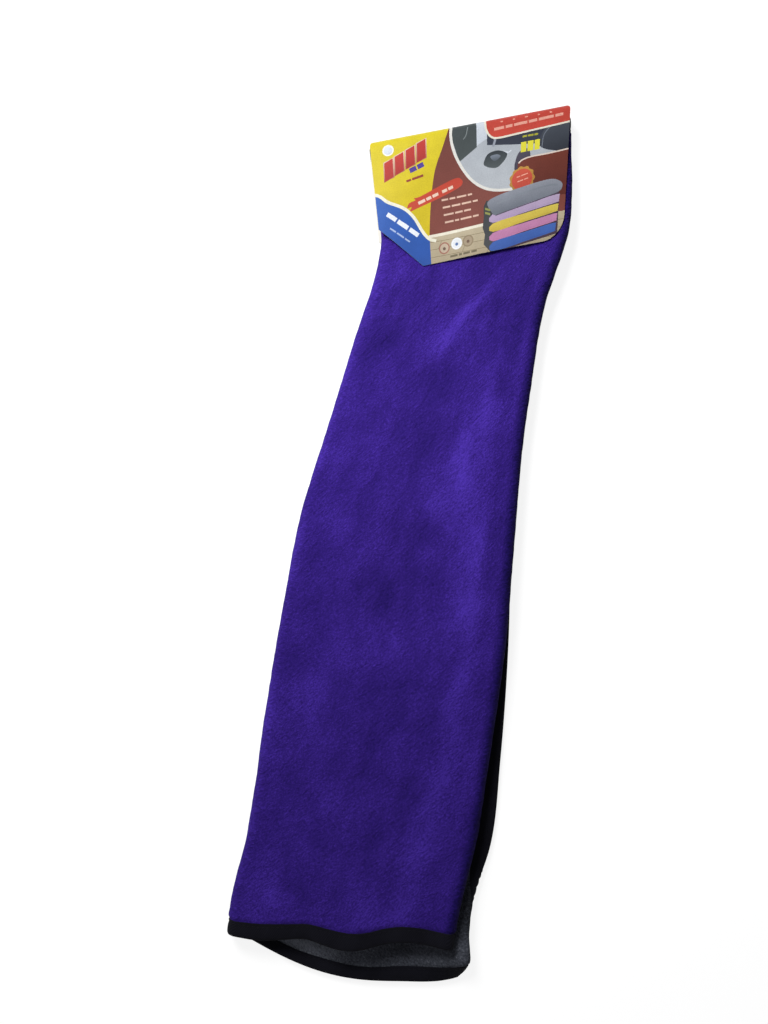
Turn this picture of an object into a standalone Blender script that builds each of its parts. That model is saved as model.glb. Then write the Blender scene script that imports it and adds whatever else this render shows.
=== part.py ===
"""Double-faced plush towel, folded in three lengthwise, with a header card over its far end.

Frame: +Y runs along the folded towel from the open end to the card, +X to the right,
+Z up, origin under the middle of the bounding box.  Metres; the constants are millimetres.
The cloth is described by one function, cloth_point(): across the cloth it runs along the
bottom layer, round the left fold, along the top layer, round the right fold and back along
the flap that is tucked between the two.  Every soft piece is a grid carried by it.
"""
import bpy
import bmesh
import numpy as np
from mathutils import Matrix, Vector

MM = 0.001

# ---- cloth
TOWEL_LENGTH = 700.0        # cloth size along the folds
TOWEL_WIDTH = 500.0         # cloth size across the folds
PLY = 2.0                   # thickness of one plush ply
GAP = 0.3                   # clearance between neighbouring pieces
# ---- binding tape sewn over the four edges
BINDING_WIDTH = 12.0        # width seen on each face
BINDING_THICKNESS = 0.6
TAPE_CLEAR = 0.45           # tape to cloth; the pile under a tape is pressed down
# ---- header card
CARD_WIDTH = 182.0
CARD_HEIGHT = 126.0         # one panel, from the fold to the lower edge
CARD_THICKNESS = 0.45
CARD_CORNER_CUT = 40.0      # straight cut at the lower left
CARD_CORNER_ROUND = 21.0    # rounded cut at the lower right
CARD_FOLD_CORNER = 7.0      # rounding at the ends of the fold
CARD_TURN = 20.7            # degrees between the card's fold and +X
# ---- adhesive strips between the card and the cloth
STRIP_LENGTH = 130.0
STRIP_WIDTH = 10.0
STRIP_THICKNESS = 0.75
STRIP_INSET = 40.0          # strip centre below the card's fold

# ---- the lie of the folded towel (fractions of the cloth's own sizes)
SHARE_BOTTOM = 0.40         # bottom layer at the open end, as a share of the cloth width
SHARE_TOP = 0.368           # top layer at the open end
SHARE_FLAP_NEAR = 0.225     # tucked flap at the open end
SHARE_FLAP_FAR = 0.26       # tucked flap at the card
END_BOW = 19.0              # sag of the bottom layer's open end, seen from above
CREST = 3.0                 # height of the soft crests in the top layer
LEFT_SAG = 3.6              # how far the top layer sinks where no flap lies under it
RIGHT_RISE = 1.6            # how far the round right fold lifts the top layer

HALF = PLY + GAP / 2.0                                  # mid surface to either face
BOUND_HALF = HALF + TAPE_CLEAR + BINDING_THICKNESS      # mid surface to the tape's face
PITCH = 2.0 * BOUND_HALF + GAP                          # mid surface to mid surface
BINDING_LIFT = TAPE_CLEAR + BINDING_THICKNESS
CARD_LIFT = CARD_THICKNESS + GAP + BINDING_LIFT
LEVEL = HALF + BINDING_LIFT + 2.0 * PITCH               # top layer's mid surface
NOSE = 9.0                                              # depth of the card's round fold
FOLD_TO_CLOTH = NOSE + 4.5                              # card fold to the cloth's end

ROWS = 27                   # grid rows along the cloth
COLUMNS = (9, 7, 13, 7, 7)  # bottom, left fold, top, right fold, flap


def smooth_step(value, low, high):
    """0 below low, 1 above high, with an even slope between."""
    x = min(max((value - low) / (high - low), 0.0), 1.0)
    return x * x * (3.0 - 2.0 * x)


def smooth_curve(stations, values):
    """Smooth curve through stations, straight beyond both ends."""
    s, v = np.array(stations, float), np.array(values, float)
    slope = np.gradient(v, s)

    def at(x):
        if x <= s[0]:
            return v[0] + slope[0] * (x - s[0])
        if x >= s[-1]:
            return v[-1] + slope[-1] * (x - s[-1])
        i = int(np.searchsorted(s, x) - 1)
        h = s[i + 1] - s[i]
        f = (x - s[i]) / h
        return ((1 + 2 * f) * (1 - f) ** 2 * v[i] + f * (1 - f) ** 2 * h * slope[i]
                + f * f * (3 - 2 * f) * v[i + 1] + f * f * (f - 1) * h * slope[i + 1])
    return at


# Plan of the folded towel.  Stations run along Y as a share of the cloth length,
# the sideways places as a share of the top layer's width.
LONG = TOWEL_LENGTH
TOP_WIDTH = SHARE_TOP * TOWEL_WIDTH
STATION = [-0.52, -0.47, -0.43, -0.38, -0.28, -0.14, -0.03, 0.09, 0.20, 0.28,
           0.33, 0.37, 0.43, 0.50]
LEFT_X = smooth_curve(STATION, [-0.490, -0.496, -0.482, -0.478, -0.490, -0.494, -0.486, -0.428,
                                -0.375, -0.330, -0.330, -0.372, -0.420, -0.455])
RIGHT_X = smooth_curve(STATION, [0.490, 0.474, 0.500, 0.530, 0.536, 0.535, 0.510, 0.484,
                                 0.481, 0.492, 0.525, 0.550, 0.535, 0.495])
FREE_X = smooth_curve(STATION, [0.592, 0.572, 0.574, 0.598, 0.590, 0.550, 0.500, 0.450,
                                0.430, 0.430, 0.450, 0.480, 0.475, 0.440])
def left_x(y):
    return LEFT_X(y / LONG) * TOP_WIDTH


def right_x(y):
    return RIGHT_X(y / LONG) * TOP_WIDTH


def free_x(y):
    return FREE_X(y / LONG) * TOP_WIDTH * (SHARE_BOTTOM / 0.40)


def flap_x(y):
    share = SHARE_FLAP_NEAR + (SHARE_FLAP_FAR - SHARE_FLAP_NEAR) * smooth_step(y / LONG, -0.4, 0.4)
    return right_x(y) - share * TOWEL_WIDTH


# ---- the card's place in plan: fold line and the directions of its two sides
TURN = np.radians(CARD_TURN)
CARD_ACROSS = np.array([np.cos(TURN), np.sin(TURN)])
CARD_UP = np.array([-np.sin(TURN), np.cos(TURN)])
CARD_DOWN_LEFT = np.array([0.205, -0.968])
CARD_DOWN_RIGHT = np.array([0.135, -0.985])
CARD_FOLD_MIDDLE = np.array([0.0, 0.4955 * LONG])


def far_end(line):
    """Where a long line meets the towel's far end, which lies along the card's fold."""
    y = CARD_FOLD_MIDDLE[1]
    for _ in range(20):
        out = CARD_UP @ (np.array([line(y), y]) - CARD_FOLD_MIDDLE) + FOLD_TO_CLOTH
        y -= out / CARD_UP[1]
    return y / LONG


# the near and far ends of each line, as shares of the cloth length
LEFT_ENDS = (-0.520, far_end(left_x))
RIGHT_ENDS = (-0.497, far_end(right_x))
FREE_ENDS = (-0.526, far_end(free_x))
FLAP_ENDS = (-0.460, far_end(flap_x))


def along(ends, t):
    return (ends[0] + (ends[1] - ends[0]) * t) * LONG


def card_plan(across, down):
    """Plan place of the point `across` from the card's middle and `down` from its fold."""
    share = across / CARD_WIDTH + 0.5
    side = CARD_DOWN_LEFT * (1 - share) + CARD_DOWN_RIGHT * share
    pinch = 1.0 - 0.075 * down / CARD_HEIGHT
    return CARD_FOLD_MIDDLE + CARD_ACROSS * across * pinch + side * down


def card_cover(x, y):
    """1 under the card, 0 clear of it, with a soft run-out."""
    depth = float(CARD_UP @ (CARD_FOLD_MIDDLE - np.array([x, y])))
    return 1.0 - smooth_step(depth, CARD_HEIGHT + 4.0, CARD_HEIGHT + 60.0)


def bottom_height(x, y):
    """Mid surface of the bottom layer: on the ground, lifted over tape and card."""
    from_end = y - (along(LEFT_ENDS, 0.0) - END_BOW)
    near = 1.0 - smooth_step(from_end, 46.0, 70.0)
    side = 1.0 - smooth_step(free_x(y) - x, BINDING_WIDTH + 3.0, BINDING_WIDTH + 20.0)
    return HALF + BINDING_LIFT * max(near, side) + CARD_LIFT * card_cover(x, y)


def crest(x, y, cx, cy, angle, length, width):
    """A soft ridge centred at (cx, cy), running at `angle` degrees from +X."""
    a = np.radians(angle)
    u = (x - cx) * np.cos(a) + (y - cy) * np.sin(a)
    v = -(x - cx) * np.sin(a) + (y - cy) * np.cos(a)
    return float(np.exp(-(u / length) ** 2 - (v / width) ** 2))


def top_height(x, y):
    """Mid surface of the top layer, crests and all."""
    cover = card_cover(x, y)
    share = (x - left_x(y)) / (right_x(y) - left_x(y))
    sag = LEFT_SAG * (1.0 - smooth_step(x, flap_x(y) - 45.0, flap_x(y) - 8.0)) * (1.0 - cover)
    rise = RIGHT_RISE * (smooth_step(share, 0.55, 0.95) * (1.0 - cover) + cover)
    soft = CREST * (crest(x, y, 0.06 * TOP_WIDTH, -0.52 * LONG, 90, 60, 22)
                    + 0.7 * crest(x, y, -0.36 * TOP_WIDTH, -0.52 * LONG, 90, 50, 16)
                    + 1.2 * crest(x, y, 0.22 * TOP_WIDTH, 0.28 * LONG, 50, 60, 20)
                    + 0.8 * crest(x, y, 0.30 * TOP_WIDTH, -0.20 * LONG, 85, 160, 40)
                    + 0.6 * crest(x, y, -0.05 * TOP_WIDTH, 0.02 * LONG, 60, 90, 40))
    return LEVEL + CARD_LIFT * cover - sag + rise + soft * (1.0 - cover)


def rail(which, t):
    """Plan place of one of the long lines at share t of the cloth length."""
    ends, line = {"left": (LEFT_ENDS, left_x), "right": (RIGHT_ENDS, right_x),
                  "free": (FREE_ENDS, free_x), "flap": (FLAP_ENDS, flap_x)}[which]
    y = along(ends, t)
    return np.array([line(y), y])


def fold_centre(which, t, inward, low, high):
    """Centre line and radius of a fold whose outside touches its rail."""
    place, radius = rail(which, t), PITCH
    for _ in range(4):
        centre = place + np.array([inward * (radius + HALF), 0.0])
        radius = (high(*centre) - low(*centre)) / 2.0
    return centre, radius, low(*centre) + radius


def flap_height(x, y):
    return bottom_height(x, y) + PITCH


def cloth_middle(q, t):
    """Mid surface of the cloth; q counts the five spans across, t runs along it."""
    span = int(min(max(np.floor(q), 0), 4))
    f = q - span
    left, left_r, left_z = fold_centre("left", t, 1.0, bottom_height, top_height)
    if span in (0, 1):
        if span == 0:
            edge = rail("free", t)
            place = edge + (left - edge) * f
            bow = END_BOW * np.sin(np.pi * min(max(f, 0.0), 1.0) ** 1.1) * (1.0 - t) ** 6
            place = place - np.array([0.0, bow])
            return np.array([place[0], place[1], bottom_height(*place)])
        angle = np.pi * (f - 0.5)
        return np.array([left[0] - left_r * np.cos(angle), left[1], left_z + left_r * np.sin(angle)])
    right, right_r, right_z = fold_centre("right", t, -1.0, flap_height, top_height)
    if span == 2:
        place = left + (right - left) * f
        wave = (3.2 * np.sin(np.pi * f) + 2.6 * np.sin(3.0 * np.pi * f)
                * smooth_step(f, 0.0, 0.3)) * (1.0 - t) ** 12
        place = place - np.array([0.0, 0.8 * wave])
        return np.array([place[0], place[1], top_height(*place)])
    if span == 3:
        angle = np.pi * (0.5 - f)
        return np.array([right[0] + right_r * np.cos(angle), right[1],
                         right_z + right_r * np.sin(angle)])
    place = right + (rail("flap", t) - right) * f
    return np.array([place[0], place[1], flap_height(*place)])


def cloth_point(q, t, offset):
    """A point `offset` from the mid surface; positive is the purple side."""
    dq, dt = 0.004, 0.0008
    across = cloth_middle(q + dq, t) - cloth_middle(q - dq, t)
    along_it = cloth_middle(q, t + dt) - cloth_middle(q, t - dt)
    normal = np.cross(across, along_it)
    return cloth_middle(q, t) + normal / np.linalg.norm(normal) * offset


# ---- stations of the cloth grid
BAND = BINDING_WIDTH / TOWEL_LENGTH
ROW_T = np.concatenate([[0.0, BAND], np.linspace(0.045, 0.955, ROWS - 3), [1.0 - BAND, 1.0]])
BOTTOM_SPAN = SHARE_BOTTOM * TOWEL_WIDTH
FLAP_SPAN = SHARE_FLAP_NEAR * TOWEL_WIDTH


def column_stations():
    parts = []
    for span, count in enumerate(COLUMNS):
        steps = np.linspace(0.0, 1.0, count + 1)
        if span == 0:
            steps = np.concatenate([[0.0], np.linspace(BINDING_WIDTH / BOTTOM_SPAN, 1.0, count)])
        if span == 4:
            steps = np.concatenate([np.linspace(0.0, 1.0 - BINDING_WIDTH / FLAP_SPAN, count),
                                    [1.0]])
        parts.append(span + steps[:-1])
    return np.concatenate(parts + [[5.0]])


COLUMN_Q = column_stations()


# ---------------------------------------------------------------- scene helpers
for old in list(bpy.data.objects):
    bpy.data.objects.remove(old, do_unlink=True)

collection = bpy.data.collections.new("plush_towel")
bpy.context.scene.collection.children.link(collection)


def material(name, colour, roughness, sheen=0.0):
    made = bpy.data.materials.new(name)
    made.use_nodes = True
    shader = made.node_tree.nodes["Principled BSDF"]
    shader.inputs["Base Color"].default_value = (*colour, 1.0)
    shader.inputs["Roughness"].default_value = roughness
    shader.inputs["Sheen Weight"].default_value = sheen
    return made


def grid(name, across_steps, along_steps, made_of):
    """A flat unit grid, x and y from 0 to 1, put in the object's own collection."""
    bpy.ops.mesh.primitive_grid_add(x_subdivisions=across_steps, y_subdivisions=along_steps,
                                    size=1.0, location=(0.0, 0.0, 0.0))
    made = bpy.context.active_object
    made.name = name
    made.data.name = name
    made.data.transform(Matrix.Translation((0.5, 0.5, 0.0)))
    made.data.materials.append(made_of)
    for holder in list(made.users_collection):
        holder.objects.unlink(made)
    collection.objects.link(made)
    return made


def carry(made, place):
    """Move every vertex from its flat place (x, y) to place(x, y), given in millimetres."""
    for vertex in made.data.vertices:
        vertex.co = Vector([float(c) * MM for c in place(vertex.co.x, vertex.co.y)])
    made.data.update()


def solidify(made, thickness, offset):
    skin = made.modifiers.new("thickness", "SOLIDIFY")
    skin.thickness = thickness * MM
    skin.offset = offset
    skin.use_even_offset = True


def ply(name, side, made_of):
    """One plush ply: the cloth grid thickened on one side of the mid surface."""
    made = grid(name, len(COLUMN_Q) - 1, len(ROW_T) - 1, made_of)

    def place(x, y):
        q = COLUMN_Q[int(round(x * (len(COLUMN_Q) - 1)))]
        t = ROW_T[int(round(y * (len(ROW_T) - 1)))]
        return cloth_middle(q, t)
    carry(made, place)
    solidify(made, PLY, side * (1.0 + GAP / PLY))
    return made


# U section of a tape: (distance in from the cloth's edge, share of the offset)
OUTSIDE = TAPE_CLEAR + BINDING_THICKNESS / 2.0
TAPE_OFFSET = HALF + OUTSIDE
TAPE_SECTION = [(BINDING_WIDTH, 1.0), (BINDING_WIDTH * 0.5, 1.0), (-0.5 * OUTSIDE, 1.0),
                (-OUTSIDE, 0.9), (-OUTSIDE, 0.0), (-OUTSIDE, -0.9), (-0.5 * OUTSIDE, -1.0),
                (BINDING_WIDTH * 0.5, -1.0), (BINDING_WIDTH, -1.0)]


def end_binding(name, far, made_of):
    """Tape over the cloth's near or far end, round all three layers."""
    made = grid(name, len(COLUMN_Q) - 1, len(TAPE_SECTION) - 1, made_of)

    def place(x, y):
        q = COLUMN_Q[int(round(x * (len(COLUMN_Q) - 1)))]
        inset, share = TAPE_SECTION[int(round(y * (len(TAPE_SECTION) - 1)))]
        t = inset / TOWEL_LENGTH
        return cloth_point(q, 1.0 - t if far else t, TAPE_OFFSET * share)
    carry(made, place)
    solidify(made, BINDING_THICKNESS, 0.0)
    return made


def side_binding(name, inner, made_of):
    """Tape over one long edge, butted between the two end tapes."""
    rows = np.concatenate([[ROW_T[1] + GAP / TOWEL_LENGTH], ROW_T[2:-2],
                           [ROW_T[-2] - GAP / TOWEL_LENGTH]])
    made = grid(name, len(TAPE_SECTION) - 1, len(rows) - 1, made_of)

    def place(x, y):
        inset, share = TAPE_SECTION[int(round(x * (len(TAPE_SECTION) - 1)))]
        t = rows[int(round(y * (len(rows) - 1)))]
        q = 5.0 - inset / FLAP_SPAN if inner else inset / BOTTOM_SPAN
        return cloth_point(q, t, TAPE_OFFSET * share)
    carry(made, place)
    solidify(made, BINDING_THICKNESS, 0.0)
    return made


# ---------------------------------------------------------------- header card
CARD_CLEAR = BOUND_HALF + GAP + CARD_THICKNESS / 2.0
CARD_NOSE_STEPS = 9


def card_surface(across, run):
    """Mid surface of the card; run is 0 at the front's lower edge, rising over the fold."""
    fold_run = CARD_HEIGHT - NOSE
    arc = 2.0 * NOSE + 8.0
    if run <= fold_run:
        x, y = card_plan(across, CARD_HEIGHT - run)
        return np.array([x, y, top_height(x, y) + CARD_CLEAR])
    if run >= fold_run + arc:
        x, y = card_plan(across, NOSE + (run - fold_run - arc))
        return np.array([x, y, CARD_THICKNESS / 2.0])
    angle = np.pi * (run - fold_run) / arc
    x, y = card_plan(across, NOSE * (1.0 - np.sin(angle)))
    base = card_plan(across, NOSE)
    high = top_height(*base) + CARD_CLEAR
    low = CARD_THICKNESS / 2.0
    return np.array([x, y, (high + low) / 2.0 + (high - low) / 2.0 * np.cos(angle)])


def cut(mesh_edit, point, direction):
    """Cut away everything beyond a line in the flat blank."""
    everything = mesh_edit.verts[:] + mesh_edit.edges[:] + mesh_edit.faces[:]
    bmesh.ops.bisect_plane(mesh_edit, geom=everything, dist=1e-5, plane_co=(*point, 0.0),
                           plane_no=(*direction, 0.0), clear_outer=True)


def header_card(made_of):
    """The card: a flat die-cut blank folded over the towel's far end."""
    arc = 2.0 * NOSE + 8.0
    length = 2.0 * (CARD_HEIGHT - NOSE) + arc
    middle = length / 2.0
    steps_panel = 8
    made = grid("header_card", 14, 2 * steps_panel + CARD_NOSE_STEPS, made_of)
    # bring the rows to the panels and the fold, in millimetres of the flat blank
    rows = np.concatenate([np.linspace(0.0, CARD_HEIGHT - NOSE, steps_panel + 1)[:-1],
                           np.linspace(CARD_HEIGHT - NOSE, CARD_HEIGHT - NOSE + arc,
                                       CARD_NOSE_STEPS + 1)[:-1],
                           np.linspace(CARD_HEIGHT - NOSE + arc, length, steps_panel + 1)])
    last = len(rows) - 1
    for vertex in made.data.vertices:
        vertex.co.y = rows[int(round(vertex.co.y * last))]
        vertex.co.x = (vertex.co.x - 0.5) * CARD_WIDTH
    edit = bmesh.new()
    edit.from_mesh(made.data)
    half = CARD_WIDTH / 2.0
    for end, toward in ((0.0, -1.0), (length, 1.0)):
        cut(edit, (-half + CARD_CORNER_CUT, end), (-1.0, toward))
        for angle in (22.5, 45.0, 67.5):
            a = np.radians(angle)
            centre = np.array([half - CARD_CORNER_ROUND, end - toward * CARD_CORNER_ROUND])
            out = np.array([np.cos(a), toward * np.sin(a)])
            cut(edit, centre + out * CARD_CORNER_ROUND * 1.02, out)
    edit.to_mesh(made.data)
    edit.free()
    reach = arc / 2.0 + CARD_FOLD_CORNER - NOSE
    for vertex in made.data.vertices:
        away = min(abs(vertex.co.y - middle), reach)
        short = CARD_FOLD_CORNER * (1.0 - np.sqrt(1.0 - (1.0 - away / reach) ** 2))
        vertex.co.x *= 1.0 - short / half
    for vertex in made.data.vertices:
        place = card_surface(vertex.co.x, vertex.co.y)
        vertex.co = Vector([float(c) * MM for c in place])
    solidify(made, CARD_THICKNESS, 0.0)
    return made


def adhesive_strip(name, front, made_of):
    """Double-sided strip holding one card panel to the cloth."""
    made = grid(name, 10, 2, made_of)
    clear = GAP + STRIP_THICKNESS / 2.0

    def place(x, y):
        plan = card_plan((x - 0.5) * STRIP_LENGTH, STRIP_INSET + (0.5 - y) * STRIP_WIDTH)
        if front:
            return np.array([*plan, top_height(*plan) + HALF + clear])
        return np.array([*plan, CARD_THICKNESS + clear])
    carry(made, place)
    solidify(made, STRIP_THICKNESS, 0.0)
    return made


purple = material("purple plush", (0.035, 0.013, 0.20), 0.95, 0.6)
grey = material("dark grey plush", (0.011, 0.011, 0.015), 0.95, 0.4)
tape = material("black binding tape", (0.006, 0.006, 0.009), 0.7)
board = material("printed board", (0.55, 0.47, 0.20), 0.4)
glue = material("clear adhesive strip", (0.75, 0.75, 0.70), 0.4)

ply("purple_ply", 1.0, purple)
ply("grey_ply", -1.0, grey)
end_binding("near_end_binding", False, tape)
end_binding("far_end_binding", True, tape)
side_binding("outer_side_binding", False, tape)
side_binding("inner_side_binding", True, tape)
header_card(board)
adhesive_strip("front_adhesive_strip", True, glue)
adhesive_strip("rear_adhesive_strip", False, glue)

# bring the origin under the middle of the bounding box
bpy.context.view_layer.update()
graph = bpy.context.evaluated_depsgraph_get()
points = []
for item in collection.objects:
    shown = item.evaluated_get(graph)
    mesh = shown.to_mesh()
    points.append(np.array([vertex.co[:] for vertex in mesh.vertices]))
    shown.to_mesh_clear()
points = np.concatenate(points)
low, high = points.min(axis=0), points.max(axis=0)
shift = Matrix.Translation((-(low[0] + high[0]) / 2.0, -(low[1] + high[1]) / 2.0, -low[2]))
for item in collection.objects:
    item.data.transform(shift)
print("size in mm:", ((high - low) * 1000.0).round(2), "moved by", ((low + high) * 500.0).round(2))
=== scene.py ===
# %% [markdown]
# # A folded plush towel under a header card
#
# The real thing is a double-faced microfibre towel, 50 by 70 cm: purple plush on one face, dark
# grey plush on the other, black binding tape sewn round all four edges. It is folded in three
# lengthwise, like a letter, and a printed card is folded over its far end. It lies on a plain surface.
#
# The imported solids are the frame. They hold the size and the place of every piece, and this script
# builds the looks on them: pile, tape, stitches and print.

# %% Load the frame
import math
import bpy
import numpy as np
from mathutils import Matrix, Vector, noise
from mathutils.geometry import delaunay_2d_cdt


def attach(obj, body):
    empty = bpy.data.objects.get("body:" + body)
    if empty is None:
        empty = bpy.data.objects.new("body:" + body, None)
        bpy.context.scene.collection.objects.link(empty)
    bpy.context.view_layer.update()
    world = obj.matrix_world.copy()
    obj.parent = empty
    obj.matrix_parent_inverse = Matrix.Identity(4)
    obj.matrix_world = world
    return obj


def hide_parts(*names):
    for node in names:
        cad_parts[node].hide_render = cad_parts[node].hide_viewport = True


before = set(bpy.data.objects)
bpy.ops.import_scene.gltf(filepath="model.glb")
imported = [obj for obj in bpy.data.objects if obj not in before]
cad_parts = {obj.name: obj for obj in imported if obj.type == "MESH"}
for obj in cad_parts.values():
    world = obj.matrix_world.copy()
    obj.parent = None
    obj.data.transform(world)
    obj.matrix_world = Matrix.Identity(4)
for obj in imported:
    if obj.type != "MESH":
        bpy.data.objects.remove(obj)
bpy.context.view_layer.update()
MM = 0.001
print("pieces in the frame:", sorted(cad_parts))


# %% [markdown]
# ## A few small helpers
#
# Colours are written as the hex values a designer would pick on a screen. The shader works in
# linear light, so one function turns them over. Another adds a node, sets it and links it, and
# every material below is made with it. The short ones after it say what recurs: noise, a weighted
# sum, a colour ramp and the shader's own settings.

# %% Colour and node helpers
def ink(hex_code):
    """Screen colour such as #2f54a8 as linear red, green, blue, alpha."""
    parts = [int(hex_code[i:i + 2], 16) / 255.0 for i in (1, 3, 5)]
    return tuple(c / 12.92 if c <= 0.04045 else ((c + 0.055) / 1.055) ** 2.4 for c in parts) + (1.0,)


def add(tree, kind, settings=None, **links):
    """Add a node; settings are its own fields, links are input values or other sockets."""
    made = tree.nodes.new(kind)
    for key, value in (settings or {}).items():
        setattr(made, key, value)
    for key, value in links.items():
        place = made.inputs[int(key[1:])] if key[0] == "i" and key[1:].isdigit() else \
            made.inputs[key.replace("_", " ")]
        if isinstance(value, bpy.types.NodeSocket):
            tree.links.new(value, place)
        else:
            place.default_value = value
    return made


def new_material(name):
    """A material with an empty Principled shader; returns material, tree and shader."""
    made = bpy.data.materials.new(name)
    made.use_nodes = True
    shader = made.node_tree.nodes["Principled BSDF"]
    return made, made.node_tree, shader


def noise_at(tree, vector, scale, detail, flat=True, **more):
    """Noise from 0 to 1 at vector, in two or three dimensions."""
    settings = {"noise_dimensions": "2D" if flat else "3D"}
    return add(tree, "ShaderNodeTexNoise", settings, Vector=vector, Scale=scale, Detail=detail,
               **more).outputs["Fac"]


def weighted(tree, total, *pairs):
    """total plus each value times its weight."""
    for value, weight in pairs:
        total = add(tree, "ShaderNodeMath", {"operation": "MULTIPLY_ADD"}, i0=value, i1=weight,
                    i2=total).outputs[0]
    return total


def ramp(tree, factor, *stops):
    """Colour of factor between its stops, each a place and a colour, lowest first."""
    made = add(tree, "ShaderNodeValToRGB", Fac=factor)
    elements = made.color_ramp.elements
    for element, (place, colour) in zip(elements, (stops[0], stops[-1])):
        element.position, element.color = place, colour
    for place, colour in stops[1:-1]:
        elements.new(place).color = colour
    return made.outputs["Color"]


def surface(shader, **values):
    """Set the shader's own sockets; a socket given as a value is linked."""
    for key, value in values.items():
        place = shader.inputs[key.replace("_", " ")]
        if isinstance(value, bpy.types.NodeSocket):
            shader.id_data.links.new(value, place)
        else:
            place.default_value = value


def nothing_selected():
    bpy.ops.object.select_all(action="DESELECT")


# %% [markdown]
# ## Camera, floor and light
#
# The towel is looked at from almost straight above with a wide lens, a little turned, so its near
# end spreads and its far end shrinks. A large pale floor and a soft box at the far left stand for a
# plain bright studio: the floor goes white, the pile grows darker towards the open end, and the
# right fold turns away from the light.

# %% Camera
LENS_SHARE = 788.0 / 768.0          # focal length over picture width
HEIGHT = 0.678                      # camera above the floor
FOOT = Vector((-0.0182, -0.0725))   # point of the floor right under it
TILT = math.radians(6.0)            # lean away from straight down
ROLL = math.radians(9.235)          # turn about the upright line

along_floor = Vector((-math.sin(ROLL), math.cos(ROLL), 0.0))
right = Vector((math.cos(ROLL), math.sin(ROLL), 0.0))
down = Vector((0.0, 0.0, -1.0))
forward = along_floor * math.sin(TILT) + down * math.cos(TILT)
up = along_floor * math.cos(TILT) - down * math.sin(TILT)
camera = bpy.data.objects.new("camera", bpy.data.cameras.new("camera"))
bpy.context.scene.collection.objects.link(camera)
camera.data.sensor_fit = "HORIZONTAL"
camera.data.sensor_width = 36.0
camera.data.lens = 36.0 * LENS_SHARE
camera.data.clip_start = 0.01
turn = Matrix((right, up, -forward)).transposed().to_4x4()
camera.matrix_world = Matrix.Translation((FOOT.x, FOOT.y, HEIGHT)) @ turn
bpy.context.scene.camera = camera
print("lens", round(camera.data.lens, 2), "mm at", tuple(round(c, 3) for c in camera.location))

# %% Floor and light
nothing_selected()
bpy.ops.mesh.primitive_plane_add(size=6.0, location=(0.0, 0.0, -0.0004))
floor = bpy.context.active_object
floor.name = "floor"
floor_paint, tree, shader = new_material("matt white studio floor")
# mid grey with a glow of its own: white all over, yet not so bright that edges on it turn jagged
surface(shader, Base_Color=ink("#858585"), Roughness=0.9, Specular_IOR_Level=0.1,
        Emission_Color=ink("#ffffff"), Emission_Strength=0.86)
floor.data.materials.append(floor_paint)
floor.visible_diffuse = False       # its glow would wash out the shaded side of the towel

world = bpy.data.worlds.new("bright room")
bpy.context.scene.world = world
world.use_nodes = True
world.node_tree.nodes["Background"].inputs["Color"].default_value = ink("#fbfbff")
world.node_tree.nodes["Background"].inputs["Strength"].default_value = 0.19


def soft_lamp(name, place, target, size, watts):
    """A square lamp at place, facing target."""
    lamp = bpy.data.objects.new(name, bpy.data.lights.new(name, "AREA"))
    lamp.data.size = size
    lamp.data.energy = watts
    bpy.context.scene.collection.objects.link(lamp)
    lamp.location = place
    lamp.rotation_euler = (Vector(target) - Vector(place)).to_track_quat("-Z", "Y").to_euler()
    return lamp


soft_lamp("soft box", (-0.52, 0.55, 0.72), (0.0, 0.36, 0.0), 0.45, 16.5)
soft_lamp("fill light", (-0.40, -0.50, 1.2), (0.0, -0.25, 0.0), 0.8, 0.3)
bpy.context.scene.view_settings.view_transform = "Standard"
print("stage set")


# %% [markdown]
# ## How the towel is folded
#
# The cloth starts at the free edge of the bottom layer, runs to the left fold, back over the top
# layer to the right fold, and ends in a flap tucked between the two. Seen from above, four long
# lines say where it lies: the left fold, the right fold, the free edge and the flap's edge. The
# solids were made from the same lines, so the looks land on them. One could also fold a flat sheet
# by simulation, but then the folds would land where they like; here they must match the frame.

# %% Sizes of the cloth and its lines
LENGTH, WIDTH = 700.0, 500.0        # the flat cloth, mm
HALF = 2.15                         # middle of the cloth to either face
LIFT_TAPE = 1.05                    # a taped edge lifts the cloth by this
PITCH = 6.7                         # one layer's middle to the next
LIFT_CARD = 1.8                     # the card's rear panel and the tape lift it by this
LEVEL = HALF + LIFT_TAPE + 2 * PITCH
LEFT_SAG, RIGHT_RISE, CREST = 3.6, 1.6, 3.0
TOP = 184.0                         # width of the top layer at the open end
ORIGIN = np.array([10.09, -4.15])   # the frame's origin, from the fold's own

CARD_W, CARD_H, NOSE = 182.0, 126.0, 9.0
TURN = math.radians(20.7)
ACROSS = np.array([math.cos(TURN), math.sin(TURN)])
UPWARD = np.array([-math.sin(TURN), math.cos(TURN)])
SIDE_LEFT, SIDE_RIGHT = np.array([0.205, -0.968]), np.array([0.135, -0.985])
FOLD_MIDDLE = np.array([0.0, 0.4955 * LENGTH])


def step(value, low, high):
    """0 below low, 1 above high, with an even slope between."""
    x = np.clip((value - low) / (high - low), 0.0, 1.0)
    return x * x * (3.0 - 2.0 * x)


def line(stations, places):
    """A smooth line through places, straight beyond both ends."""
    s, v = np.array(stations, float), np.array(places, float)
    slope = np.gradient(v, s)

    def at(x):
        x = np.asarray(x, float)
        i = np.clip(np.searchsorted(s, x) - 1, 0, len(s) - 2)
        h = s[i + 1] - s[i]
        f = np.clip((x - s[i]) / h, 0.0, 1.0)
        inside = ((1 + 2 * f) * (1 - f) ** 2 * v[i] + f * (1 - f) ** 2 * h * slope[i]
                  + f * f * (3 - 2 * f) * v[i + 1] + f * f * (f - 1) * h * slope[i + 1])
        return inside + slope[0] * np.minimum(x - s[0], 0) + slope[-1] * np.maximum(x - s[-1], 0)
    return at


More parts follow.
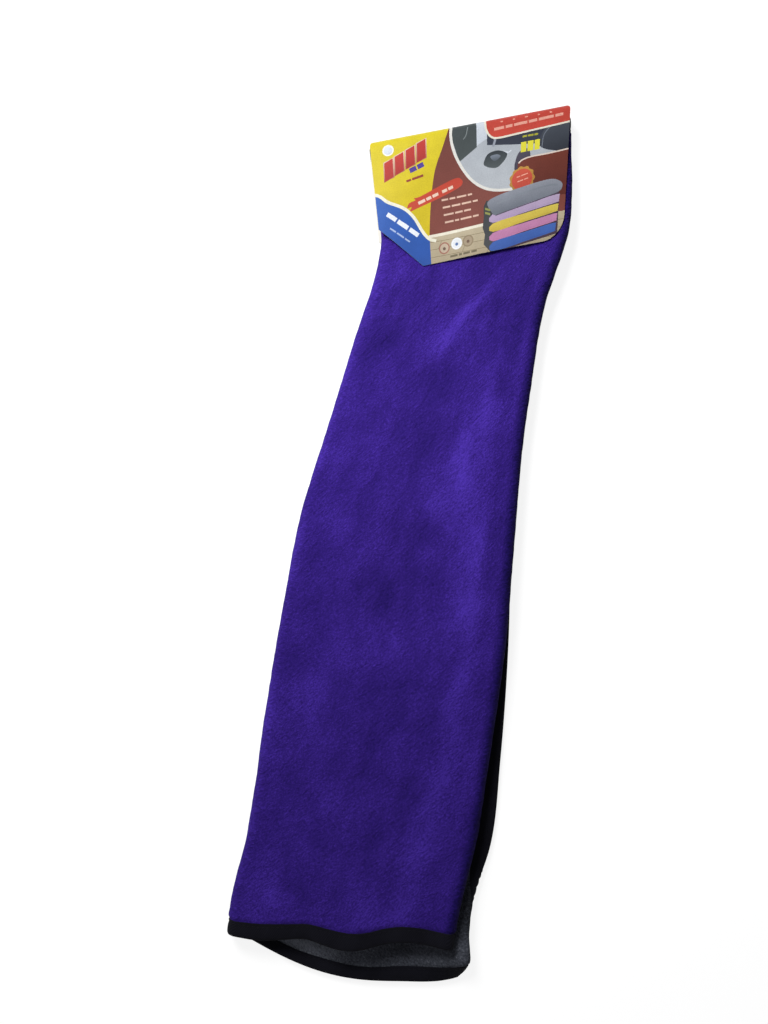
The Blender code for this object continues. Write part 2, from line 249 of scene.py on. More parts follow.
STATION = [-0.52, -0.47, -0.43, -0.38, -0.28, -0.14, -0.03, 0.09, 0.20, 0.28,
           0.33, 0.37, 0.43, 0.50]
left_line = line(STATION, [-0.490, -0.496, -0.482, -0.478, -0.490, -0.494, -0.486, -0.428,
                           -0.375, -0.330, -0.330, -0.372, -0.420, -0.455])
right_line = line(STATION, [0.510, 0.496, 0.508, 0.530, 0.536, 0.535, 0.510, 0.484,
                            0.481, 0.492, 0.525, 0.550, 0.535, 0.495])
free_line = line(STATION, [0.600, 0.562, 0.570, 0.600, 0.590, 0.550, 0.500, 0.450,
                           0.430, 0.430, 0.450, 0.480, 0.475, 0.440])


def left_x(y):
    return left_line(y / LENGTH) * TOP


def right_x(y):
    return right_line(y / LENGTH) * TOP


def free_x(y):
    return free_line(y / LENGTH) * TOP


def flap_x(y):
    return right_x(y) - (0.225 + 0.035 * step(y / LENGTH, -0.4, 0.4)) * WIDTH


def far_end(edge):
    """Where a long line meets the cloth's far end, which lies along the card's fold."""
    y = FOLD_MIDDLE[1]
    for _ in range(20):
        out = UPWARD @ (np.array([float(edge(y)), y]) - FOLD_MIDDLE) + NOSE + 4.5
        y -= out / UPWARD[1]
    return y


ENDS = {"left": (-0.520 * LENGTH, far_end(left_x)), "right": (-0.4915 * LENGTH, far_end(right_x)),
        "free": (-0.526 * LENGTH, far_end(free_x)), "flap": (-0.460 * LENGTH, far_end(flap_x))}
EDGES = {"left": left_x, "right": right_x, "free": free_x, "flap": flap_x}
print("far ends at", {name: round(e[1]) for name, e in ENDS.items()}, "mm")


# %% [markdown]
# ## Heights
#
# The bottom layer lies on the floor. The flap and the top layer pile on it, and the top layer
# sinks a little along the left where no flap lies under it. A few long low crests keep it from
# looking ironed: one runs down from the card, others wander along the pile. At the open end the
# free edge of the bottom layer has rolled under itself, which lifts what lies on it.

# %% Height of each layer
def under_card(x, y):
    """1 under the card, falling softly to 0 clear of it."""
    depth = -(UPWARD[0] * (x - FOLD_MIDDLE[0]) + UPWARD[1] * (y - FOLD_MIDDLE[1]))
    return 1.0 - step(depth, CARD_H + 4.0, CARD_H + 60.0)


ROLL = 2.9                          # radius of the rolled free edge, mm
ROLL_LENGTH = 17.5                  # cloth taken up by the roll


def rolled(y):
    """How far the free edge has rolled under: 0 flat, 1 rolled, at the open end."""
    return 1.0 - step(y, -326.0, -266.0)


def roll_lift(x, y):
    """Height that the rolled edge gives the layers above it."""
    return (2 * ROLL + 0.3) * rolled(y) * (1.0 - step(free_x(y) - x, 4.0, 38.0))


def bottom_z(x, y):
    near = 1.0 - step(y - ENDS["left"][0] + 19.0, 46.0, 70.0)
    side = 1.0 - step(free_x(y) - x, 15.0, 32.0)
    return (HALF + LIFT_TAPE * np.maximum(near, side) + LIFT_CARD * under_card(x, y)
            + roll_lift(x, y))


def flap_z(x, y):
    return bottom_z(x, y) + PITCH


def crest(x, y, cx, cy, degrees, length, width):
    """A soft ridge centred at (cx, cy), running at that angle from +X."""
    a = math.radians(degrees)
    u = (x - cx) * math.cos(a) + (y - cy) * math.sin(a)
    v = -(x - cx) * math.sin(a) + (y - cy) * math.cos(a)
    return np.exp(-(u / length) ** 2 - (v / width) ** 2)


def top_z(x, y):
    cover = under_card(x, y)
    share = (x - left_x(y)) / (right_x(y) - left_x(y))
    sag = LEFT_SAG * (1 - step(x, flap_x(y) - 45.0, flap_x(y) - 8.0)) * (1 - cover)
    rise = RIGHT_RISE * (step(share, 0.55, 0.95) * (1 - cover) + cover)
    soft = (crest(x, y, 11, -364, 90, 60, 22) + 0.7 * crest(x, y, -66, -364, 90, 50, 16)
            + 1.2 * crest(x, y, 40, 196, 50, 60, 20) + 0.8 * crest(x, y, 55, -140, 85, 160, 40)
            + 0.6 * crest(x, y, -9, 14, 60, 90, 40))
    return (LEVEL + LIFT_CARD * cover - sag + rise + CREST * soft * (1 - cover)
            + 0.85 * roll_lift(x, y))


print("top layer at the middle:", round(float(top_z(0.0, 0.0)), 1), "mm up")


# %% [markdown]
# ## The cloth's middle surface
#
# The middle surface is one grid of points, column by column across the cloth and row by row along
# it. The folds are half circles whose outside touches their line.

# %% Grid of the folded cloth
def rail(name, t):
    low, high = ENDS[name]
    y = low + (high - low) * t
    return np.stack([EDGES[name](y), y], -1)


def fold(name, t, inward, low_z, high_z):
    """Centre line, radius and height of a fold whose outside touches its line."""
    place, radius = rail(name, t), np.full(len(t), PITCH)
    for _ in range(4):
        centre = place + np.stack([inward * (radius + HALF), np.zeros(len(t))], -1)
        x, y = centre.T
        radius = (high_z(x, y) - low_z(x, y)) / 2
    return centre, radius, low_z(x, y) + radius


def spread(start, end, shares):
    return start[None] + (end - start)[None] * shares[:, None, None]


def half_turn(centre, radius, z, angles, outward):
    x = centre[None, :, 0] + outward * radius[None] * np.cos(angles)[:, None]
    y = np.broadcast_to(centre[None, :, 1], x.shape)
    return np.stack([x, y, z[None] + radius[None] * np.sin(angles)[:, None]], -1)


def with_height(plan, height):
    return np.concatenate([plan, height(plan[..., 0], plan[..., 1])[..., None]], -1)


EDGE_STEP, END_STEP = 1.5, 2.5      # finest steps, at the free edge and at the open end, mm
bottom_mm, flap_mm = 200.0, 120.0   # cloth in the bottom layer and in the flap
share = [np.concatenate([np.arange(0, 30, EDGE_STEP), np.linspace(30, bottom_mm, 23)[:-1]])
         / bottom_mm] + [np.linspace(0, 1, n, endpoint=False) for n in (8, 27, 8)] \
    + [np.linspace(0, 1, 15)]
t_rows = np.concatenate([np.arange(0, 35, END_STEP), np.linspace(35, LENGTH, 89)]) / LENGTH
left = fold("left", t_rows, 1.0, bottom_z, top_z)
right_fold = fold("right", t_rows, -1.0, flap_z, top_z)

# bottom layer: flat from the left fold, then rolled under along part of its free edge
edge = rail("free", t_rows)
edge[:, 0] -= 11.0 * np.clip(1 - t_rows / 0.026, 0, 1) ** 2
to_left = left[0] - edge
reach = np.linalg.norm(to_left, axis=1)
inward = to_left / reach[:, None]
amount = rolled(edge[:, 1])
radius = ROLL * (0.78 + 0.22 * amount)
taken = ROLL_LENGTH * amount
bend = np.minimum(np.pi, taken / radius)
start = np.where(bend > np.pi / 2, radius, radius * np.sin(bend)) + HALF * amount
mm = (share[0] * bottom_mm)[:, None]
past = np.clip((mm - taken) / (bottom_mm - taken), 0, 1)
turned = np.clip((taken - mm) / radius, 0, bend)
under = np.maximum(taken - mm - bend * radius, 0)
inset = (start + (reach - start) * past - radius * np.sin(turned) - under * np.cos(bend))
drop = radius * (1 - np.cos(turned)) + under * np.sin(bend)
bottom = edge[None] + inward[None] * inset[..., None]
f = np.clip(inset / reach, 0, 1)
bottom[..., 1] -= 19.0 * np.sin(np.pi * f ** 1.02) * (1 - t_rows)[None] ** 6
bottom[..., 1] -= 3.0 * crest(bottom[..., 0], 0, 84, 0, 0, 22, 1) * (1 - t_rows)[None] ** 14
bottom = with_height(bottom, bottom_z)
bottom[..., 2] += 3.5 * crest(bottom[..., 0], bottom[..., 1], 100, -350, 0, 26, 18) - drop
from_end = (t_rows * LENGTH)[None]
low = HALF + LIFT_TAPE * np.ones_like(drop)
bottom[..., 2] = np.maximum(low + (bottom[..., 2] - low) * step(from_end, -1.0, 15.0),
                            HALF + LIFT_TAPE * (amount > 0))

# the top layer's open end is wavy
end_wave = line([0, .14, .25, .33, .41, .49, .57, .62, .69, .76, .84, 1],
                [0, 1.5, -0.4, -2.2, 1.2, 4.1, 4.5, 3.0, -0.7, -2.8, -3.0, 0])
top = spread(left[0], right_fold[0], share[2])
top[..., 1] -= end_wave(share[2])[:, None] * (1 - t_rows)[None] ** 14
flap = spread(right_fold[0], rail("flap", t_rows), share[4])
folded = np.concatenate([
    bottom, half_turn(*left, np.pi * (share[1] - 0.5), -1.0),
    with_height(top, top_z), half_turn(*right_fold, np.pi * (0.5 - share[3]), 1.0),
    with_height(flap, flap_z)])
column_q = np.concatenate([i + each for i, each in enumerate(share)])
print("middle surface:", len(folded), "columns by", len(t_rows), "rows, highest",
      round(folded[..., 2].max(), 1))


# %% [markdown]
# ## Reading the surface anywhere
#
# Pile, tape and thread all need points between the grid's own, and a direction that stands off
# the cloth. A cubic B-spline over the grid gives both: it smooths what a coarse grid leaves
# angular, and it runs on straight past the edges, where tape wraps round them.

# %% Surface lookup
def padded_grid(grid):
    """Two more rows and columns on each side, carried on straight."""
    for axis in (0, 1):
        grid = np.moveaxis(grid, axis, 0)
        before = [grid[0] * (1 + k) - grid[1] * k for k in (2, 1)]
        after = [grid[-1] * (1 + k) - grid[-2] * k for k in (1, 2)]
        grid = np.moveaxis(np.concatenate([before, grid, after]), 0, axis)
    return grid


def weights(f):
    """Cubic B-spline weights of four neighbours at share f between the middle two."""
    return np.stack([(1 - f) ** 3, 3 * f ** 3 - 6 * f ** 2 + 4,
                     -3 * f ** 3 + 3 * f ** 2 + 3 * f + 1, f ** 3]) / 6


PAST_FLAP, PAST_END = 14, 92        # columns and rows per unit past the flap's edge and the far end
NEARBY = 0.3                        # columns or rows to the points that give the surface's slope


class Surface:
    """Smooth middle surface of the folded cloth through a grid of places, in mm."""

    def __init__(self, grid):
        self.grid = padded_grid(grid)
        self.columns, self.rows = grid.shape[:2]

    def middle(self, c, r):
        """Points at column c and row r, which need not be whole."""
        c = np.clip(c, -0.99, self.columns - 0.01)
        r = np.clip(r, -0.99, self.rows - 0.01)
        ic, ir = np.floor(c).astype(int), np.floor(r).astype(int)
        wc, wr = weights(c - ic), weights(r - ir)
        total = 0.0
        for a in range(4):
            for b in range(4):
                total = total + (wc[a] * wr[b])[..., None] * self.grid[ic + a + 1, ir + b + 1]
        return total

    def point(self, q, t, offset):
        """Point at share q across and t along, offset mm to the purple side."""
        c = (np.interp(q, column_q, np.arange(self.columns)) + np.maximum(q - 5.0, 0.0) * PAST_FLAP
             + np.minimum(q, 0.0) * bottom_mm / EDGE_STEP)
        r = (np.interp(t, t_rows, np.arange(self.rows)) + np.maximum(t - 1.0, 0.0) * PAST_END
             + np.minimum(t, 0.0) * LENGTH / END_STEP)
        c, r = np.broadcast_arrays(c, r)
        across = self.middle(c + NEARBY, r) - self.middle(c - NEARBY, r)
        along = self.middle(c, r + NEARBY) - self.middle(c, r - NEARBY)
        normal = np.cross(across, along)
        normal /= np.linalg.norm(normal, axis=-1, keepdims=True)
        return self.middle(c, r) + normal * np.asarray(offset)[..., None]


cloth = Surface(folded)
print("point over the middle:", cloth.point(np.array(2.5), np.array(0.5), np.array(0.0)).round(1))


# %% [markdown]
# ## Making a mesh from a grid
#
# A grid primitive is added and each of its vertices is carried to its place. The grid keeps its
# tidy rows of four-sided faces, so shading, thickness and a UV map in cloth millimetres come easily.

# %% Grid carrier
def carried_grid(name, places, finish, uv=None):
    """A grid primitive whose vertex (i, j) goes to places[i, j], in mm of the fold's own plan."""
    columns, rows = places.shape[:2]
    nothing_selected()
    bpy.ops.mesh.primitive_grid_add(x_subdivisions=columns - 1, y_subdivisions=rows - 1, size=1.0)
    made = bpy.context.active_object
    made.name = made.data.name = name
    flat = np.zeros(len(made.data.vertices) * 3, np.float32)
    made.data.vertices.foreach_get("co", flat)
    flat = flat.reshape(-1, 3)
    i = np.rint((flat[:, 0] + 0.5) * (columns - 1)).astype(int)
    j = np.rint((flat[:, 1] + 0.5) * (rows - 1)).astype(int)
    where = places[i, j].astype(np.float64)
    where[:, :2] -= ORIGIN
    made.data.vertices.foreach_set("co", (where * MM).astype(np.float32).ravel())
    if uv is not None:
        layer = made.data.uv_layers.active
        loops = np.zeros(len(made.data.loops), np.int32)
        made.data.loops.foreach_get("vertex_index", loops)
        layer.data.foreach_set("uv", (uv[i, j] * MM).astype(np.float32)[loops].ravel())
        layer.name = "cloth"
    made.data.update()
    made.data.materials.append(finish)
    made.data.shade_smooth()
    return made


def thicken(made, thickness, offset):
    """Give a sheet its thickness in mm; offset -1 adds it all below the sheet, 0 on both sides."""
    skin = made.modifiers.new("thickness", "SOLIDIFY")
    skin.thickness = thickness * MM
    skin.offset = offset
    nothing_selected()
    made.select_set(True)
    bpy.context.view_layer.objects.active = made
    bpy.ops.object.modifier_apply(modifier=skin.name)
    return made


def wander(places, size, seed, octaves=2):
    """Smooth noise from -1 to 1 at each place; size is the width of its waves in mm."""
    flat = places.reshape(-1, places.shape[-1]) / size
    out = np.array([noise.fractal(Vector((p[0] + seed, p[1] - seed, seed * 0.7)), 0.8, 2.0, octaves)
                    for p in flat])
    return np.clip(out, -1, 1).reshape(places.shape[:-1])


# %% [markdown]
# ## Microfibre plush
#
# Coral fleece is a knitted ground with a dense split-fibre pile, 2 to 3 mm long. The pile takes
# light in and gives a little back at a grazing angle, so folds look soft-edged and brushed nap
# looks darker or lighter. That is a rough base, a sheen of the pile's own colour, blotches of
# random tone, clumps and tufts of fibre that lean the same way, and patches of painted light and
# shade mixed with marks of brushed nap.

# %% Plush materials
NAP_AND_LIGHT_DEPTH = 0.16                  # how much the patches of painted light, shade and nap change the pile's tone
CLUMP, TUFT = 820.0, 330.0          # noise waves in a metre of cloth: 1.2 and 3 mm across
STROKE, BLOTCH = 55.0, 22.0         # the same for marks of a hand, 18 and 45 mm across


def plush(name, deep, mid, light, sheen_colour, sheen, lean):
    """Cut-pile microfibre fleece; the three colours are dark, common and light pile. An attribute of the
    ply adds painted light and shade to its tone.
    """
    made, tree, shader = new_material(name)
    cloth_mm = add(tree, "ShaderNodeUVMap", {"uv_map": "cloth"}).outputs["UV"]

    def drawn(degrees, length):
        """The cloth's plane, drawn out by length at that angle."""
        return add(tree, "ShaderNodeMapping", {"vector_type": "TEXTURE"}, i0=cloth_mm,
                   Rotation=(0.0, 0.0, math.radians(degrees)),
                   Scale=length).outputs["Vector"]

    # clumps of fibre and ruffled tufts, drawn out along the lean of the pile
    clump = noise_at(tree, drawn(lean, (1.6, 1.0, 1.0)), CLUMP, 4.0, Roughness=0.72, Distortion=0.3)
    tuft = noise_at(tree, drawn(lean, (2.4, 1.0, 1.0)), TUFT, 2.0, Roughness=0.6)
    # marks of a hand, longer along the towel
    along = drawn(0.0, (1.0, 1.7, 1.0))
    stroke = noise_at(tree, along, STROKE, 2.0)
    blotch = noise_at(tree, along, BLOTCH, 1.0)
    # the ply's attribute: painted light and shade, mixed with nap marks, added to the pile's tone
    painted_light_and_nap = add(tree, "ShaderNodeAttribute", {"attribute_name": "nap_and_painted_light"}).outputs["Fac"]
    tone = weighted(tree, 0.0, (blotch, 0.15), (stroke, 0.15), (clump, 0.58), (tuft, 0.10),
                    (painted_light_and_nap, NAP_AND_LIGHT_DEPTH))
    # painted shade: a near-black stop, reached where the right fold's painted shade lies
    painted_shade_ink = [c * 0.22 for c in ink(deep)[:3]] + [1.0]
    normal = None
    for height, strength, depth in ((clump, 0.9, 0.0009), (tuft, 0.5, 0.0014), (stroke, 0.5, 0.003)):
        lower = {"Normal": normal} if normal else {}
        normal = add(tree, "ShaderNodeBump", Height=height, Strength=strength, Distance=depth,
                     **lower).outputs["Normal"]
    surface(shader, Normal=normal, Roughness=1.0, Specular_IOR_Level=0.08,
            Base_Color=ramp(tree, tone, (0.12, painted_shade_ink), (0.30, ink(deep)), (0.50, ink(mid)),
                            (0.70, ink(light))),
            Sheen_Weight=sheen, Sheen_Roughness=0.45, Sheen_Tint=ink(sheen_colour))
    return made


purple_plush = plush("purple microfibre plush", "#1c1054", "#321d78", "#4c32aa", "#6e50d8", 0.2, 44.0)
grey_plush = plush("dark grey microfibre plush", "#24262c", "#4a4d56", "#787c86", "#8f939f", 0.1, 44.0)
print("plush ready")


# %% [markdown]
# ## The two plies
#
# Each ply is a grid laid on its side of the middle surface and thickened inwards. The columns are
# close together where the ply is seen and wide apart where it is hidden, which keeps each piece
# under the triangle limit. Near every edge the pile is pressed flat, ready for the tape, and
# swells again just inside it.

# %% Plies
TAPE = 12.0                         # tape width seen on each face, mm
FACE = 2.15                         # pile tip from the middle surface
PRESSED = 1.15                      # the same under the tape
IN_ROLL = 1.25                      # the same inside the rolled edge
ROLL_SHARE = 0.13                   # share of the bottom layer that the roll takes up
ROLLED_MM = 27                      # cloth from the free edge that has columns close together
# mm of cloth at the ends of the spans, which are bottom, fold, top, fold and flap
PATH = [0, 200, 215, 390, 402, 500]


def edge_distance(q, t):
    """Distance to the nearest cut edge of the cloth, in mm."""
    side = np.where(q < 1, q * bottom_mm, np.where(q > 4, (5 - q) * flap_mm, 1e3))
    return np.minimum(side, np.minimum(t, 1 - t) * LENGTH)


def pile_height(q, t, mm):
    """Height of the pile's tips: pressed under tape, swollen beside it, uneven elsewhere."""
    d = edge_distance(q, t) + 0.7 * wander(mm, 3.5, 5.5, 1)
    swell = 0.45 * np.exp(-((d - TAPE - 3.0) / 3.0) ** 2)
    rest = FACE + swell + 0.22 * wander(mm, 7.0, 3.1) + 0.35 * wander(mm, 28.0, 8.4)
    return PRESSED + (rest - PRESSED) * step(d, TAPE - 1.0, TAPE + 1.6)


# patches of lighter and darker pile on the top layer, nap marks mixed with painted light and
# shade: centre, direction, half length, half width, strength
NAP_AND_LIGHT_PATCHES = [(18, 186, 56, 26, 5, 0.95), (-1, 150, 63, 26, 6, 0.6), (30, 40, 97, 44, 15, 0.9),
           (42, 95, 97, 34, 8, 0.7), (14, 12, 40, 16, 9, 0.3), (50, -20, 92, 40, 11, 0.6),
           (54, -75, 92, 45, 10, 0.5), (55, -150, 84, 45, 10, 0.55), (52, -215, 78, 40, 8, 0.3),
           (45, -262, 78, 30, 11, 0.5), (24, -322, 15, 24, 9, 0.4), (-57, -145, 82, 26, 9, 0.4),
           (-64, -191, 80, 26, 9, 0.25), (-57, -24, 80, 22, 12, 0.15), (-66, -324, -8, 20, 7, 0.3),
           (3, -119, 5, 30, 12, 0.2), (-50, 82, 80, 30, 8, 0.2), (3, -14, 0, 30, 13, -0.4),
           (-19, -75, 85, 17, 10, -0.5), (22, -54, 0, 22, 11, -0.4), (-26, 63, 60, 13, 8, -0.3),
           (5, 112, 70, 28, 8, -0.4), (-61, 142, 70, 26, 12, -0.3), (30, -212, 80, 22, 12, -0.35),
           (-39, -215, 80, 14, 9, -0.25), (9, -259, 60, 24, 10, -0.25), (19, -143, 0, 25, 7, -0.3),
           (-10, -219, 85, 20, 8, -0.2), (44, 196, 55, 26, 12, -0.3), (-83, -141, 70, 16, 6, -0.3)]

# the same for the grey face, where the bottom layer shows beyond the top one: painted light at
# its left tip and painted shade near the tape and at its right
GREY_LIGHT_AND_SHADE = [(-38, -361, -5, 20, 7, 0.9), (-12, -362, 0, 20, 6, 0.6), (17, -363, 0, 26, 5, -0.3),
                (41, -353, 0, 15, 7, -0.5), (88, -310, 88, 24, 9, -1.1)]

# painted shade along the right fold's side and painted light along the left fold's side
PAINTED_SHADE, PAINTED_SHADE_MM = 1.7, 13         # depth and width of the dark side at the right fold
PAINTED_LIGHT, PAINTED_LIGHT_MM = 0.3, 9          # strength and width of the light side at the left fold


def nap_and_painted_light(x, y, side):
    """Painted light and shade on the pile, with marks of its nap, -1 to 1, at a place in the frame."""
    total = sum(crest(x, y, *each[:5]) * each[5] for each in (NAP_AND_LIGHT_PATCHES if side > 0 else GREY_LIGHT_AND_SHADE))
    if side < 0:
        return total
    # painted shade on the right fold's side and painted light on the left fold's side of the purple face
    right_side = right_x(y + ORIGIN[1]) - ORIGIN[0]
    left_side = left_x(y + ORIGIN[1]) - ORIGIN[0]
    return total - PAINTED_SHADE * step(x, right_side - PAINTED_SHADE_MM, right_side - 1) + PAINTED_LIGHT * (
        1 - step(x, left_side, left_side + PAINTED_LIGHT_MM))


def ply(name, side, finish, counts, rows):
    """One plush ply on the purple (+1) or grey (-1) side."""
    q = np.concatenate([np.arange(0, ROLLED_MM, 1.8) / bottom_mm,
                        np.linspace(ROLLED_MM / bottom_mm, 1, counts[0], endpoint=False)]
                       + [i + np.linspace(0, 1, counts[i], endpoint=False) for i in (1, 2, 3, 4)]
                       + [[5.0]])
    near = np.linspace(0, 24 / LENGTH, 13)[:-1]
    t = np.concatenate([near, np.linspace(near[-1] + 2 / LENGTH, 1 - TAPE / LENGTH, rows), [1.0]])
    q, t = np.meshgrid(q, t, indexing="ij")
    path = np.interp(q, range(6), PATH)
    mm = np.stack([path, t * LENGTH], -1)
    height = pile_height(q, t, mm)
    if side > 0:                    # the pile is squeezed inside the rolled edge
        height = np.where(q < ROLL_SHARE, np.minimum(height, IN_ROLL), height)
    outer = cloth.point(q, t, side * height)
    made = carried_grid(name, outer, finish, uv=mm)
    # painted light and shade on the pile, mixed with nap marks, kept on each vertex for the material
    lean = made.data.attributes.new("nap_and_painted_light", "FLOAT", "POINT")
    at = np.array([v.co[:] for v in made.data.vertices]) / MM
    lean.data.foreach_set("value", nap_and_painted_light(at[:, 0], at[:, 1], side).astype(np.float32))
    if side < 0:
        made.data.flip_normals()
    return thicken(made, 1.0, -1.0)


purple = ply("purple_plush_face", 1, purple_plush, (20, 16, 96, 16, 10), 250)
grey = ply("grey_plush_face", -1, grey_plush, (60, 10, 30, 8, 10), 200)
for piece, node, name in ((purple, "purple_ply", "purple plush"), (grey, "grey_ply", "dark grey plush")):
    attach(piece, "root")
    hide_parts(node)
    print(piece.name, len(piece.data.polygons) * 2, "triangles")


# %% [markdown]
# ## Binding tape
#
# A knitted polyester tape is folded over the raw edge and sewn through both plies. In section it
# is a U. The tape follows the edge on the same surface as the plies, dips at every stitch and
# puckers a little between them.

# %% Tape material
def knitted_tape(name, dark, light):
    """Fold-over polyester binding: fine ribs along the tape, 0.9 mm apart, matt and dark."""
    made, tree, shader = new_material(name)
    tape_mm = add(tree, "ShaderNodeUVMap", {"uv_map": "cloth"}).outputs["UV"]
    ribs = add(tree, "ShaderNodeTexWave", {"wave_type": "BANDS", "bands_direction": "DIAGONAL"},
               Vector=tape_mm, Scale=350.0, Distortion=1.5, Detail=2.0).outputs["Fac"]
    fluff = noise_at(tree, tape_mm, 900.0, 2.0, flat=False)
    wear = noise_at(tree, tape_mm, 45.0, 3.0, flat=False)
    tone = weighted(tree, 0.0, (wear, 0.6), (ribs, 0.4))
    first = add(tree, "ShaderNodeBump", Height=ribs, Strength=0.5, Distance=0.0003)
    second = add(tree, "ShaderNodeBump", Height=fluff, Strength=0.4, Distance=0.0002,
                 Normal=first.outputs["Normal"])
    surface(shader, Base_Color=ramp(tree, tone, (0.25, ink(dark)), (0.80, ink(light))),
            Normal=second.outputs["Normal"], Roughness=0.85, Specular_IOR_Level=0.06,
            Sheen_Weight=0.02)
    return made


black_tape = knitted_tape("black knitted binding tape", "#0a0a10", "#181820")

# %% Tape pieces
STITCH = 4.0                        # stitch pitch, mm
TAPE_FACE = 1.75                    # tape's middle from the cloth's middle surface
SEAM = 9.6                          # stitch line from the cloth's edge
section = [(12.0, 0.93), (11.3, 1.0), (SEAM, 0.9), (7.5, 1.06), (5.0, 1.10), (2.5, 1.08), (0.8, 1.0),
           (-0.35, 0.72), (-0.75, 0.3), (-0.75, -0.3), (-0.35, -0.72), (0.8, -1.0), (2.5, -1.08),
           (5.0, -1.10), (7.5, -1.06), (SEAM, -0.9), (11.3, -1.0), (12.0, -0.93)]


def tape_places(run_mm, to_cloth, shift):
    """Places of a tape: run_mm along it, the U section across it."""
    inset = np.array([s[0] for s in section])[None, :]
    rise = np.array([s[1] for s in section])[None, :]
    run = run_mm[:, None]
    dip = np.exp(-((inset - SEAM) / 1.1) ** 2) * (0.10 + 0.10 * np.cos(2 * np.pi * run / STITCH))
    pucker = 0.12 * np.sin(2 * np.pi * run / 17.0 + shift) * np.sin(2 * np.pi * run / 41.0)
    w = TAPE_FACE * rise - np.sign(rise) * (dip - pucker * (np.abs(rise) > 0.9))
    weave = 0.35 * np.sin(2 * np.pi * run / 57.0 + shift) * (inset > 5)
    q, t = to_cloth(run + 0 * inset, inset + weave)
    uv = np.stack([np.cumsum([0] + [1.6] * (len(section) - 1))[None] + 0 * run, run + 0 * inset], -1)
    return cloth.point(q, t, w), uv


DROOP = 0.30                        # share of the tape's width that the drooping edge hides


def near_edge(run, inset):
    # the bottom layer's edge droops, so its tape shows narrower towards the left fold
    droop = 1.0 - DROOP * step(run, 30, 110) * (1 - step(run, 196, 212))
    return np.interp(run, PATH, range(6)), inset * droop / LENGTH


def far_edge(run, inset):
    return np.interp(run, PATH, range(6)), 1 - inset / LENGTH


def outer_edge(run, inset):
    return inset / bottom_mm, run / LENGTH


def inner_edge(run, inset):
    return 5 - inset / flap_mm, run / LENGTH


def tape(name, node, to_cloth, start, end, shift, flip):
    run = np.arange(start, end + 0.01, 1.0)
    places, uv = tape_places(run, to_cloth, shift)
    made = carried_grid(name, places, black_tape, uv=uv)
    if flip:
        made.data.flip_normals()
    thicken(made, 0.5, 0.0)
    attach(made, "root")
    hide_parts(node)
    return made


tapes = [tape("near_end_tape", "near_end_binding", near_edge, 0, 500, 0.4, True),
         tape("far_end_tape", "far_end_binding", far_edge, 0, 500, 1.9, False),
         tape("outer_side_tape", "outer_side_binding", outer_edge, 12.4, 687.6, 2.6, False),
         tape("inner_side_tape", "inner_side_binding", inner_edge, 12.4, 687.6, 4.1, True)]
print("tapes:", [len(p.data.polygons) for p in tapes])


# %% [markdown]
# ## Stitches
#
# The tape is held by a straight lockstitch, one stitch every 4 mm, a little inside the tape's
# edge. One stitch is modelled once, as a small stretched ball, and copied along each seam on both
# faces. There are hundreds, so each has only 20 faces.

# %% Lockstitch seams
def stitch_model():
    nothing_selected()
    bpy.ops.mesh.primitive_ico_sphere_add(subdivisions=1, radius=1.0)
    made = bpy.context.active_object
    points = np.array([v.co[:] for v in made.data.vertices])
    faces = [list(p.vertices) for p in made.data.polygons]
    bpy.data.objects.remove(made)
    return points * np.array([1.45, 0.27, 0.22]), faces


stitch_points, stitch_faces = stitch_model()


def seam(name, to_cloth, start, end, finish):
    """Stitches on both faces of one tape."""
    runs = np.arange(start + STITCH / 2, end, STITCH)
    all_points, all_faces = [], []
    for side in (1.0, -1.0):
        q, t = to_cloth(runs, np.full(len(runs), SEAM))
        q2, t2 = to_cloth(runs + 0.5, np.full(len(runs), SEAM))
        lift = np.full(len(runs), side * (TAPE_FACE * 0.9 + 0.12))
        here, ahead = cloth.point(q, t, lift), cloth.point(q2, t2, lift)
        above = cloth.point(q, t, lift + side * 0.5)
        for p, a, n in zip(here, ahead, above):
            x = (a - p) / np.linalg.norm(a - p)
            z = n - p
            z = z - x * (z @ x)
            z /= np.linalg.norm(z)
            frame3 = np.stack([x, np.cross(z, x), z])
            base = len(all_points) * len(stitch_points)
            all_points.append(p + stitch_points @ frame3)
            all_faces += [[base + i for i in f] for f in stitch_faces]
    points = np.concatenate(all_points)
    points[:, :2] -= ORIGIN
    mesh = bpy.data.meshes.new(name)
    mesh.from_pydata((points * MM).tolist(), [], all_faces)
    mesh.materials.append(finish)
    mesh.shade_smooth()
    made = bpy.data.objects.new(name, mesh)
    bpy.context.scene.collection.objects.link(made)
    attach(made, "root")
    return made


# spun polyester thread: black, a little glossier than the tape
thread, tree, shader = new_material("black polyester thread")
twist = add(tree, "ShaderNodeTexWave", Vector=add(tree, "ShaderNodeTexCoord").outputs["Object"],
            Scale=900.0, Distortion=2.0)
bump = add(tree, "ShaderNodeBump", Height=twist.outputs["Fac"], Strength=0.4, Distance=0.0001)
surface(shader, Base_Color=ink("#101016"), Normal=bump.outputs["Normal"], Roughness=0.6,
        Specular_IOR_Level=0.15)

seams = [seam("near_end_stitches", near_edge, 0, 500, thread),
         seam("far_end_stitches", far_edge, 0, 500, thread),
         seam("outer_side_stitches", outer_edge, 13, 687, thread),
         seam("inner_side_stitches", inner_edge, 13, 687, thread)]
print("stitches:", sum(len(s.data.polygons) for s in seams) // 20)


# %% [markdown]
# ## Header card: the blank
#
# The card is one die-cut blank of film-laminated board, folded over the towel. Flat, it is a tall
# panel with clipped corners: straight at one side of each lower edge, rounded at the other, and
# small round notches where the fold ends. The print is drawn on the flat blank as plain shapes, and
# a constrained triangulation cuts the board along every outline, so each ink has a crisp edge
# with no picture file. The alternative, one node mask per shape, would need hundreds of nodes.

